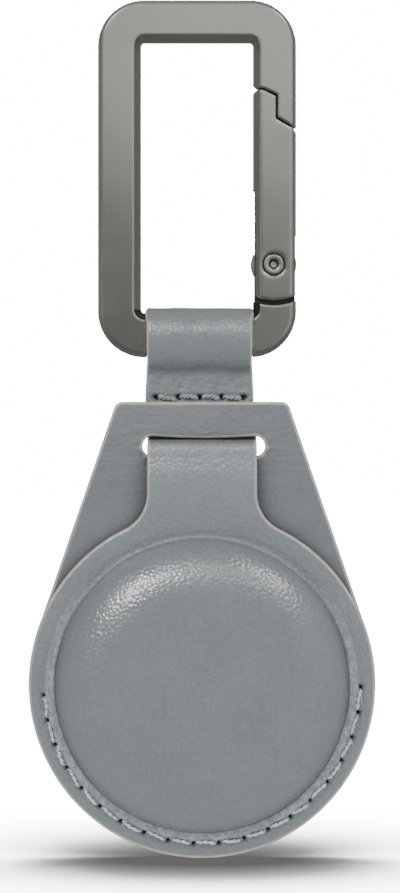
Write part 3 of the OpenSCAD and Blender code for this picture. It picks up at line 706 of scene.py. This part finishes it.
def front_points():
    """Even points, finer round the dome's foot and finest under the stitches."""
    parts = [np.array([[SIDE, DISC_Z]])]
    for r in np.arange(0.36, 16.2, 0.36):
        parts.append(ring_points(r, 0.42))
    for r in np.arange(16.3, FOOT_OUT + 0.05, 0.13):
        parts.append(ring_points(r, 0.3))
    for r in np.arange(FOOT_OUT + 0.12, 20.1, 0.13):
        parts.append(ring_points(r, 0.14, *SEAM_ARC))
        parts.append(ring_points(r, 0.34, 8, 174))
    outer = hex_grid(FRONT_GRID_TOP, 0.36)
    parts.append(outer[from_middle(outer) > 20.2])
    return np.vstack(parts)


outline = resample(front_outline(BEND_Z + NECK_CUT), 0.17)
front = sheet_piece("front_leather", outline, [], front_points(), front_place, FULL_T, OUTER_T,
                    [DOME_LEATHER, EDGE_PAINT, NEEDLE_HOLE_SHADE], lambda x, z: hole_measure(x, z) < 0.62)
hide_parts("front_panel")


def lining_place(x, z, t, face):
    return front_place(x, z, t + OUTER_T - 0.02, False)


def lining_points():
    outer = hex_grid(FRONT_GRID_TOP, 0.7)
    rings = [ring_points(r, 0.7) for r in np.arange(0.6, FOOT_OUT, 0.55)]
    return np.vstack([np.array([[SIDE, DISC_Z]])] + rings + [outer[from_middle(outer) > FOOT_OUT + 0.2]])


# The back panel with the yoke
def back_outline():
    """Round below, with sides that run straight up to the yoke's upper corners."""
    half, rise = YOKE_W / 2, YOKE_TOP - DISC_Z
    reach = math.hypot(half, rise)
    side = math.degrees(math.atan2(rise, half) - math.acos(DISC_R / reach))
    touch = np.array([DISC_R * math.cos(math.radians(side)), DISC_R * math.sin(math.radians(side))])
    corner = np.array([half, rise])
    d = (corner - touch) / np.hypot(*(corner - touch))
    n = np.array([-d[1], d[0]])
    # middle of the corner's rounding: YOKE_ROUND inside both the side and the top
    cz = rise - YOKE_ROUND
    base = touch + n * YOKE_ROUND
    cx = (base + d * (cz - base[1]) / d[1])[0]
    start = math.degrees(math.atan2(-n[1], -n[0]))
    return np.array(arc(0, 0, DISC_R, np.arange(180 - side, 360 + side, 0.6))
                    + arc(cx, cz, YOKE_ROUND, np.linspace(start, 90, 14))
                    + arc(-cx, cz, YOKE_ROUND, np.linspace(90, 180 - start, 14))) + [SIDE, DISC_Z]


def slot_outline():
    """Round ends, and an upper side that sags between them."""
    x, z, w, h = SLOT
    r = h / 2
    upper = [(x + t * (w / 2 - r), z + r - SLOT_SAG * (1 - t * t)) for t in np.linspace(1, -1, 30)[1:-1]]
    return np.array(arc(x + w / 2 - r, z, r, np.linspace(-90, 90, 22)) + upper
                    + arc(x - w / 2 + r, z, r, np.linspace(90, 270, 22)))


def back_place(x, z, t, face):
    y = POCKET_Y + t
    if face:
        # folds that run from the slot's ends to the sides, where the neck pulls
        side = np.abs(x - SLOT[0]) - SLOT[2] / 2
        fan = np.exp(-np.clip(side, 0, 9) / 2.2) * (side > -0.4)
        height = z - SLOT[1]
        lines = np.sin(height * 5.2 - side * 1.1 * np.sign(x - SLOT[0]) + 0.8) * np.exp(-(height / 2.2) ** 2)
        y = y + FOLD_H * fan * lines + 0.03 * ripple(x, z, 8.0, 11)
    else:
        y = y - seam_depth(x, z) + 0.03 * ripple(x, z, 8.0, 12)
    return np.column_stack([x, y, z])


def back_points():
    """Even points, with finer rings under the stitches."""
    grid = hex_grid(BACK_GRID_TOP, 0.42)
    r = from_middle(grid)
    parts = [grid[(r < 17.7) | (r > 20.0) | (grid[:, 1] > STITCHES_END_Z)]]
    for r in np.arange(17.8, 20.0, 0.15):
        parts.append(ring_points(r, 0.16, *SEAM_ARC))
    return np.vstack(parts)


back = sheet_piece("back_leather", resample(back_outline(), 0.17), [resample(slot_outline(), 0.15)],
                   back_points(), back_place, FULL_T, FULL_T, [YOKE_LEATHER, EDGE_PAINT])
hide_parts("yoke_facing", "yoke_backing", "back_facing", "back_backing")


# Ribbons: the strap and the neck's upper end
def ribbon(name, path, x_left, x_right, step, mats, dent=None, dark=None):
    """A strip along path (rows of y, z, outward y, outward z), with rounded painted sides and ends."""
    lengths = np.hypot(np.diff(path[:, 0]), np.diff(path[:, 1]))
    at = np.concatenate([[0], np.cumsum(lengths)])
    total = at[-1]
    rows = np.array(EDGE_ROWS)
    between = np.linspace(EDGE_A, total - EDGE_A, int(total / step))
    s = np.unique(np.concatenate([rows, between, total - rows]))
    y, z, ny, nz = (np.interp(s, at, path[:, k]) for k in range(4))
    size = np.hypot(ny, nz)
    ny, nz = ny / size, nz / size
    n_mid = int((STRAP_X[1] - STRAP_X[0]) / step)
    mid = np.linspace(0, 1, n_mid + 2)[1:-1]
    n, n_cols = len(s), 2 * len(rows) + n_mid
    top, rear = [], []
    for i in range(n):
        left, right = x_left(s[i], z[i]), x_right(s[i], z[i])
        inner = left + EDGE_A + mid * (right - left - 2 * EDGE_A)
        xs = np.concatenate([left + rows, inner, (right - rows)[::-1]])
        d = np.minimum(np.minimum(xs - left, right - xs), min(s[i], total - s[i]))
        half = FULL_T / 2 * edge_shape(np.maximum(d, 0))
        sink = dent(xs, s[i], z[i]) if dent else 0.0
        out = half - sink * (d > 0.05)
        top.append(np.column_stack([xs, y[i] + ny[i] * out, z[i] + nz[i] * out]))
        rear.append(np.column_stack([xs, y[i] - ny[i] * half, z[i] - nz[i] * half]))
    grid = np.arange(n * n_cols).reshape(n, n_cols)
    faces, mat = [], []
    for i in range(n - 1):
        at_end = s[i + 1] <= PAINT_ROW or total - s[i] <= PAINT_ROW
        for j in range(n_cols - 1):
            a, b, c, e = grid[i, j], grid[i, j + 1], grid[i + 1, j + 1], grid[i + 1, j]
            painted = 1 if at_end or min(j, n_cols - 2 - j) < PAINT_COLS else 0
            faces += [(a, b, c, e), (a + n * n_cols, e + n * n_cols, c + n * n_cols, b + n * n_cols)]
            # faces that dark picks get the third material, painted shade in the holes
            mat += [2 if dark and dark(*top[i][j, ::2]) else painted, painted]
    obj = make_piece(name, np.vstack(top + rear), faces, mats, mat)
    bm = bmesh.new()
    bm.from_mesh(obj.data)
    bmesh.ops.remove_doubles(bm, verts=bm.verts, dist=0.0005 * MM)
    bm.to_mesh(obj.data)
    bm.free()
    return obj


def strap_path():
    """From the free end in front up over the hook's bar and down to the neck: y, z and the outward way."""
    layer, meet, sway_r, loop_r = 0.66, -40.0, 2.934, 2.95
    sway = math.radians(52.4)
    before = [(-layer, z, -1, 0) for z in np.linspace(-44.25, meet, 26, endpoint=False)]
    for a in np.linspace(0, sway, 14, endpoint=False):
        before.append((-layer - sway_r + sway_r * math.cos(a), meet + sway_r * math.sin(a),
                       -math.cos(a), -math.sin(a)))
    for b in np.linspace(-sway, 0, 14, endpoint=False):
        before.append((sway_r - loop_r - sway_r * math.cos(b), BAR_Z + sway_r * math.sin(b),
                       -math.cos(b), math.sin(b)))
    over = [(-loop_r * math.cos(g), BAR_Z + loop_r * math.sin(g), -math.cos(g), math.sin(g))
            for g in np.linspace(0, math.pi, 48, endpoint=False)]
    behind = [(-y, z, -ny, nz) for y, z, ny, nz in before][::-1]
    return np.array(before + over + behind + [(layer, z, 1, 0) for z in np.linspace(-44.4, -46.75, 14)])


STITCH_X = [TIE_MID + TIE_STEP * (i - 2) for i in range(TIE_HOLES)]


def tie_hole(xs, z):
    """0 in the middle of the strap's nearest needle hole, 1 at its rim."""
    k = np.clip(np.round((xs - STITCH_X[0]) / TIE_STEP), 0, TIE_HOLES - 1)
    return np.hypot((xs - STITCH_X[0] - TIE_STEP * k) / 0.52, (z - TIE_Z) / 0.42)


def strap_dent(xs, s, z):
    """Drawn in along the stitches, with small puckers above them and a crease where the two layers meet."""
    dz = z - TIE_Z
    groove = 0.16 * math.exp(-(dz / 0.42) ** 2)
    u = (xs - STITCH_X[0]) / TIE_STEP
    on = np.clip((u + 0.4) / 0.3, 0, 1) * np.clip((TIE_HOLES - 0.6 - u) / 0.3, 0, 1)
    pit = 0.6 * np.clip(1.2 - tie_hole(xs, z), 0, 1)
    line = TIE_Z + CREASE_OVER_TIE + 0.2 * np.sin(xs * 0.9 + 0.6) + 0.1 * np.sin(xs * 2.3)
    off = (z - line) / np.where(z > line, 0.5, 1.7)
    crease = CREASE * np.exp(-off ** 2) * (0.8 + 0.2 * np.sin(xs * 1.1 + 2.0))
    pucker = 0.05 * np.cos(2 * math.pi * u) * math.exp(-((dz - 1.1) / 0.9) ** 2)
    ways = np.sin(xs * 3.1 + 4 * dz) * np.sin(xs * 1.3 - 6 * dz + 1.0)
    wrinkle = 0.03 * ways * math.exp(-((dz - 1.3) / 1.2) ** 2)
    fine = 0.022 * ripple(xs, s * 1.6, 1.7, 15) * math.exp(-((dz - 1.2) / 1.7) ** 2)
    glaze = 0.03 * ripple(xs, s, 2.6, 16) * math.exp(-((z - BAR_Z - 1.2) / 2.4) ** 2)
    return on * groove + pit + pucker + wrinkle + crease + fine + glaze + 0.02 * ripple(xs, s, 6.0, 5)


def strap_flare(s, z, low):
    """How far a side stands out: beside the bar's top and, by low, toward the free end."""
    return 0.22 * math.exp(-((s - 13.2) / 1.6) ** 2) + low * max(0, min(1, (-38.1 - z) / 4.0))


strap = ribbon("strap_leather", strap_path(), lambda s, z: STRAP_X[0] - strap_flare(s, z, 0.22),
               lambda s, z: STRAP_X[1] + strap_flare(s, z, 0.2), 0.2,
               [STRAP_LEATHER, EDGE_PAINT, NEEDLE_HOLE_SHADE], strap_dent, lambda x, z: tie_hole(x, z) < 0.75)
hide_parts("strap_loop")


def upper_neck_path():
    s = np.linspace(NECK_CUT, 2 * BEND_R * math.pi / 2 + BEND_RUN + 3.0, 40)
    y, z, ny, nz = neck_path(s)
    return np.column_stack([y, z, -ny, -nz])


neck = ribbon("neck_end", upper_neck_path(), lambda s, z: SIDE - NECK_W / 2, lambda s, z: SIDE + NECK_W / 2,
              0.3, [DOME_LEATHER, EDGE_PAINT])
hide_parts("neck_strap")

lining = sheet_piece("pouch_lining", resample(front_outline(BEND_Z + NECK_CUT - 0.3, 0.28), 0.3), [],
                     lining_points(), lining_place, 0.4, 0.4, [LINING, LINING])
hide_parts("front_lining")


# Threads
def add_tube(verts, faces, centres, radii, across, over, sides, capped):
    """A tube through centres, whose rings lie in the ways across and over."""
    base, rows = len(verts), len(centres)
    across, over = np.broadcast_to(across, (rows, 3)), np.broadcast_to(over, (rows, 3))
    for i in range(rows):
        for k in range(sides):
            a = 2 * math.pi * k / sides
            verts.append(centres[i] + radii[i] * (math.cos(a) * across[i] + math.sin(a) * over[i]))
    for i in range(rows - 1):
        for k in range(sides):
            a, b = base + i * sides + k, base + i * sides + (k + 1) % sides
            faces.append((a, b, b + sides, a + sides))
    if capped:
        faces.append(tuple(base + k for k in range(sides))[::-1])
        faces.append(tuple(base + (rows - 1) * sides + k for k in range(sides)))


def add_fibre(verts, faces, rng, root, side, ahead, up):
    """A loose fibre that curls away from a thread at root."""
    way = side * rng.uniform(-1, 1) + ahead * rng.uniform(-0.9, 0.9) + np.array([0, 0.12, 0])
    r, long = rng.uniform(0.045, 0.075), rng.uniform(0.35, 1.0)
    curl = np.cross(way, up) * rng.uniform(-0.35, 0.35)
    along = np.linspace(0, 1, 5)
    centres = [root + way * long * w + curl * w * w * long - np.array([0, 0.3 - 0.12 * w, 0]) for w in along]
    add_tube(verts, faces, centres, r * (1 - 0.6 * along), side, up, 3, False)


def twisted(paths, strand_r, off, pitch, name, mat=THREAD, fuzz=None):
    """Two-ply thread along each path (rows of points), all in one mesh, with fuzz[i] loose fibres."""
    verts, faces = [], []
    rng = np.random.RandomState(len(paths) + 60)
    up = np.array([0.0, 1.0, 0.0])
    for number, path in enumerate(paths):
        thick = rng.uniform(0.75, 1.15)
        p = np.asarray(path, float)
        d = np.diff(p, axis=0)
        at = np.concatenate([[0], np.cumsum(np.hypot(np.hypot(d[:, 0], d[:, 1]), d[:, 2]))])
        n = max(10, int(at[-1] / 0.075))
        s = np.linspace(0, at[-1], n)
        c = np.column_stack([np.interp(s, at, p[:, k]) for k in range(3)])
        t = np.gradient(c, axis=0)
        t /= np.linalg.norm(t, axis=1)[:, None]
        side = np.cross(t, up)
        side[np.linalg.norm(side, axis=1) < 0.2] = np.array([1.0, 0.0, 0.0])
        side /= np.linalg.norm(side, axis=1)[:, None]
        lift = np.cross(side, t)
        for strand in (0, 1):
            phase = 2 * math.pi * s / pitch + math.pi * strand + number * 1.7
            centres = c + off * (np.cos(phase)[:, None] * side + np.sin(phase)[:, None] * lift)
            swell = 0.16 * np.sin(s * 3.3 + number * 2.1 + strand * 1.3) * np.sin(s * 1.7 + number)
            add_tube(verts, faces, centres, strand_r * thick * (0.9 + swell), side, lift, 7, True)
        for _ in range(fuzz[number] if fuzz else 0):
            row = rng.randint(2, n - 2)
            add_fibre(verts, faces, rng, c[row] + lift[row] * rng.uniform(0.0, 0.1), side[row], t[row], up)
    return make_piece(name, verts, faces, [mat])


def stitch(a, b, face_y, outward, rise, deep, rng, slant, side_way):
    """One stitch from hole a to hole b on a face, sinking into both."""
    pts = []
    wobble = rng.uniform(-0.17, 0.17)
    slant = slant * rng.uniform(0.3, 1.7)
    rise = rise * rng.uniform(0.5, 1.3)
    for t in np.linspace(0, 1, 25):
        e = min(t, 1 - t) / 0.17
        f = 1.0 if e >= 1 else e * e * (3 - 2 * e)
        at = np.asarray(a) * (1 - t) + np.asarray(b) * t
        at = at + np.asarray(side_way) * (slant * (0.5 - t) * 2 + wobble * math.sin(math.pi * t))
        crown = rise * (0.75 + 0.25 * math.sin(math.pi * t))
        pts.append((at[0], face_y + outward * (-deep * (1 - f) + crown * f), at[1]))
    return pts


def ring_stitches(face_y, outward, rise, deep, slant, seed):
    """The stitches round the pouch, each a little shorter than the way between its holes."""
    short = 0.10
    rng = np.random.RandomState(seed)
    out = []
    for i in range(SEAM_HOLES - 1):
        a0, a1 = (math.radians(SEAM_FIRST - SEAM_STEP * k) for k in (i, i + 1))
        p = [np.array((SIDE + SEAM_R * math.cos(q), DISC_Z + SEAM_R * math.sin(q))) for q in (a0, a1)]
        way = (math.cos((a0 + a1) / 2), math.sin((a0 + a1) / 2))
        p0 = p[0] * (1 - short) + p[1] * short
        p1 = p[1] * (1 - short) + p[0] * short
        out.append(stitch(p0, p1, face_y, outward, rise, deep, rng, slant, way))
    return out


def strap_stitches(outward, seed):
    rng = np.random.RandomState(seed)
    out = []
    for i in range(TIE_HOLES - 1):
        a, b = (STITCH_X[i] + 0.38, TIE_Z), (STITCH_X[i + 1] - 0.38, TIE_Z)
        out.append(stitch(a, b, STRAP_FACE * outward, outward, 0.12, 0.5, rng, 0.08, (0, 1)))
    return out


seam_front = twisted(ring_stitches(FACE_Y, -1, 0.07, 0.55, 0.13, 21), 0.125, 0.095, 1.5, "pouch_seam_front",
                     fuzz=[26, 16, 18, 6, 3, 5, 2, 4, 3, 2, 5, 3, 4, 2, 3, 5, 8, 10, 14])
seam_back = twisted(ring_stitches(BACK_Y, 1, 0.06, 0.5, -0.08, 22), 0.13, 0.115, 1.3, "pouch_seam_back")
tie_front = twisted(strap_stitches(-1, 31), 0.185, 0.16, 0.95, "strap_seam_front", TIE_THREAD)
tie_back = twisted(strap_stitches(1, 32), 0.185, 0.16, 0.95, "strap_seam_back", TIE_THREAD)
for obj, cad in ((seam_front, "pouch_top_thread"), (seam_back, "pouch_bobbin_thread"),
                 (tie_front, "strap_top_thread"), (tie_back, "strap_bobbin_thread")):
    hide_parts(cad)


# Metal pieces
def rounded_copy(cad, name, mat, width, body, shaded):
    """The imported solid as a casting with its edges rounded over."""
    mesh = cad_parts[cad].data.copy()
    obj = bpy.data.objects.new(name, mesh)
    bpy.context.scene.collection.objects.link(obj)
    bm = bmesh.new()
    bm.from_mesh(mesh)
    bmesh.ops.remove_doubles(bm, verts=bm.verts, dist=0.0008 * MM)
    bmesh.ops.dissolve_limit(bm, angle_limit=math.radians(0.6), verts=bm.verts, edges=bm.edges)
    bm.to_mesh(mesh)
    bm.free()
    mesh.materials.clear()
    mesh.materials.append(mat)
    mesh.materials.append(RECESS_METAL)
    mesh.polygons.foreach_set("use_smooth", [True] * len(mesh.polygons))
    # faces that shaded picks get the recess metal: painted shade
    for face in mesh.polygons:
        face.material_index = 1 if shaded(face.center / MM, face.normal) else 0
    bevel = obj.modifiers.new("rounding", "BEVEL")
    bevel.width = width * MM
    bevel.segments = 3
    bevel.limit_method = "ANGLE"
    bevel.angle_limit = math.radians(24)
    bevel.use_clamp_overlap = True
    bevel.harden_normals = False
    weighted = obj.modifiers.new("normals", "WEIGHTED_NORMAL")
    weighted.keep_sharp = False
    weighted.weight = 80
    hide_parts(cad)
    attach(obj, body)
    return obj


def between_cheeks(centre, normal):
    """Flat sides inside the gate's slot and groove, where little light comes in."""
    return abs(normal.y) > 0.9 and abs(centre.y) < 0.9


def in_corner(centre, normal):
    """Sides of the window's lower corners, which the strap shades."""
    low = abs(centre.x) < 7.6 and -33.5 < centre.z < -30 and abs(normal.y) < 0.95
    return low or between_cheeks(centre, normal)


# Faces in the rivet's dimple, which get the recess metal's painted shade.
def in_dimple(centre, normal):
    return math.hypot(centre.x - RIVET[0], centre.z - RIVET[1]) < 0.7 and abs(normal.y) < 0.95


castings = [rounded_copy("hook_frame", "hook_casting", METAL, 0.16, "frame", in_corner),
            rounded_copy("hook_gate", "gate_casting", GATE_METAL, 0.16, "gate", between_cheeks),
            rounded_copy("gate_rivet", "rivet", RIVET_METAL, 0.1, "frame", in_dimple)]
for cad, mat in (("gate_plunger", RIVET_METAL), ("gate_spring", SPRING_STEEL)):
    for slot_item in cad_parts[cad].material_slots:
        slot_item.material = mat
    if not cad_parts[cad].material_slots:
        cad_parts[cad].data.materials.append(mat)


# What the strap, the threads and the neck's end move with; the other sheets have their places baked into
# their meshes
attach(strap, "strap")
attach(tie_front, "strap")
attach(tie_back, "strap")
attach(seam_front, "pouch")
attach(seam_back, "pouch")
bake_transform(front)
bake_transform(lining)
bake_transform(back)
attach(neck, "yoke")
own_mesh(neck)


# Floor, light and camera
def floor_material():
    """A white floor that glows, with a painted shadow: its glow drops where the object stands close over it.
    """
    mat = bpy.data.materials.new("white_floor")
    mat.use_nodes = True
    tree = mat.node_tree
    out = next(n for n in tree.nodes if n.type == "OUTPUT_MATERIAL")
    tree.nodes.remove(next(n for n in tree.nodes if n.type == "BSDF_PRINCIPLED"))
    open_share = ramp(tree, openness(tree, 60 * MM, 32),
                      [(0.52, 0.0), (0.6, 0.07), (0.7, 0.17), (0.76, 0.3), (0.8, 0.46), (0.84, 0.64),
                       (0.88, 0.79), (0.93, 0.9), (0.995, 1.0)])
    strength = math_node(tree, "MULTIPLY", math_node(tree, "POWER", 120.0, open_share), 0.14)
    glow = node(tree, "ShaderNodeEmission", Color=grey(1.0), Strength=strength)
    tree.links.new(glow.outputs[0], out.inputs["Surface"])
    return mat


FLOOR_HALF = 3000
corners = [(FLOOR_HALF * x, FLOOR_HALF * y, FLOOR_Z) for x, y in ((-1, -1), (1, -1), (1, 1), (-1, 1))]
floor = make_piece("floor", corners, [(0, 1, 2, 3)], [floor_material()])
floor.visible_diffuse = False
floor.visible_glossy = False


def collection_of(name, pieces):
    group = bpy.data.collections.new(name)
    for piece in pieces:
        group.objects.link(piece)
    return group


def soft_light(name, place_mm, aim_mm, size_mm, power, only=None, hidden_from=None):
    """A soft box in watts, for one group of pieces if given, and hidden from one kind of ray if given."""
    data = bpy.data.lights.new(name, "AREA")
    data.shape = "RECTANGLE"
    data.size, data.size_y = size_mm[0] * MM, size_mm[1] * MM
    data.energy = power
    obj = bpy.data.objects.new(name, data)
    bpy.context.scene.collection.objects.link(obj)
    obj.location = Vector(place_mm) * MM
    way = (Vector(aim_mm) - Vector(place_mm)) * MM
    obj.rotation_euler = way.to_track_quat("-Z", "Y").to_euler()
    if only is not None:
        obj.light_linking.receiver_collection = only
    if hidden_from is not None:
        setattr(obj, hidden_from, False)


leather_pieces = (front, back, strap, neck)
leather_only = collection_of("leather_only", leather_pieces)
soft_goods = collection_of("soft_goods", leather_pieces + (seam_front, seam_back, tie_front, tie_back))
metal_only = collection_of("metal_only", castings)
POUCH = (0, -10, -77)
HOOK = (0, 0, -20)
UPPER_LEFT = (-194, -263, 212)

# Highlights on the leather
soft_light("gleam_left", UPPER_LEFT, POUCH, (110, 110), 2.7, soft_goods, "visible_diffuse")
soft_light("gleam_right", (227, -85, 262), POUCH, (110, 110), 0.85, soft_goods, "visible_diffuse")
# Soft shading of every piece
soft_light("form_left", UPPER_LEFT, POUCH, (150, 150), 0.25, hidden_from="visible_glossy")
soft_light("form_right", (200, -200, 180), POUCH, (100, 100), 0.25, hidden_from="visible_glossy")
soft_light("overhead", (0, 60, 300), (0, 0, -50), (260, 160), 0.08)

# The highlight where the neck comes through the slot
soft_light("gleam_top", (5, -95, 36), (0, -10, -50), (230, 22), 0.16, leather_only, "visible_diffuse")

# What the metal's lands and bevels mirror
soft_light("hook_panel", (45, -130, 56), (45, 0, 56), (148, 122), 0.0455, metal_only)
soft_light("low_panel", (48, -130, -36), (48, 0, -36), (50, 50), 0.006, metal_only)
soft_light("strip_left", (-150, -150, -20), HOOK, (30, 160), 0.018, metal_only)
soft_light("strip_right", (150, -150, -20), HOOK, (30, 160), 0.03, metal_only)
soft_light("metal_left", UPPER_LEFT, HOOK, (160, 160), 0.4, metal_only)
soft_light("metal_right", (225, -150, 245), HOOK, (160, 160), 0.3, metal_only)

# Light from all round: dark at the horizon, bright above it, and white where the camera looks past the object
world = bpy.data.worlds.new("studio")
world.use_nodes = True
bpy.context.scene.world = world
wt = world.node_tree
background = next(n for n in wt.nodes if n.type == "BACKGROUND")
way_out = node(wt, "ShaderNodeTexCoord").outputs["Generated"]
height = map_range(wt, axis_of(wt, way_out, "Z"), -1.0, 1.0)
before = ramp(wt, height, [(0.30, 0.2), (0.42, 0.2), (0.52, 0.22), (0.58, 0.28), (0.95, 0.35)])
behind = ramp(wt, height, [(0.30, 0.22), (0.5, 0.28), (0.7, 0.32), (0.95, 0.3)])
even = ramp(wt, height, [(0.1, 1.45), (0.42, 1.35), (0.58, 1.05), (0.9, 1.0)])
ray = node(wt, "ShaderNodeLightPath")
sky = mix(wt, map_range(wt, axis_of(wt, way_out, "Y"), -0.6, 0.1), before, behind)
around = mix(wt, ray.outputs["Is Diffuse Ray"], sky, even)
seen = mix(wt, ray.outputs["Is Camera Ray"], around, grey(1.0))
wt.links.new(seen, background.inputs["Color"])
strength = math_node(wt, "ADD", math_node(wt, "MULTIPLY", ray.outputs["Is Camera Ray"], 15.0), 1.0)
wt.links.new(strength, background.inputs["Strength"])

camera_data = bpy.data.cameras.new("camera")
camera_data.lens = 141.0
camera_data.sensor_width = 36.0
camera_data.clip_start = 0.01
camera_data.clip_end = 20.0
camera = bpy.data.objects.new("camera", camera_data)
bpy.context.scene.collection.objects.link(camera)
camera.location = (0.36 * MM, -420 * MM, -48.4 * MM)
camera.rotation_euler = (math.radians(90), 0, 0)
bpy.context.scene.camera = camera
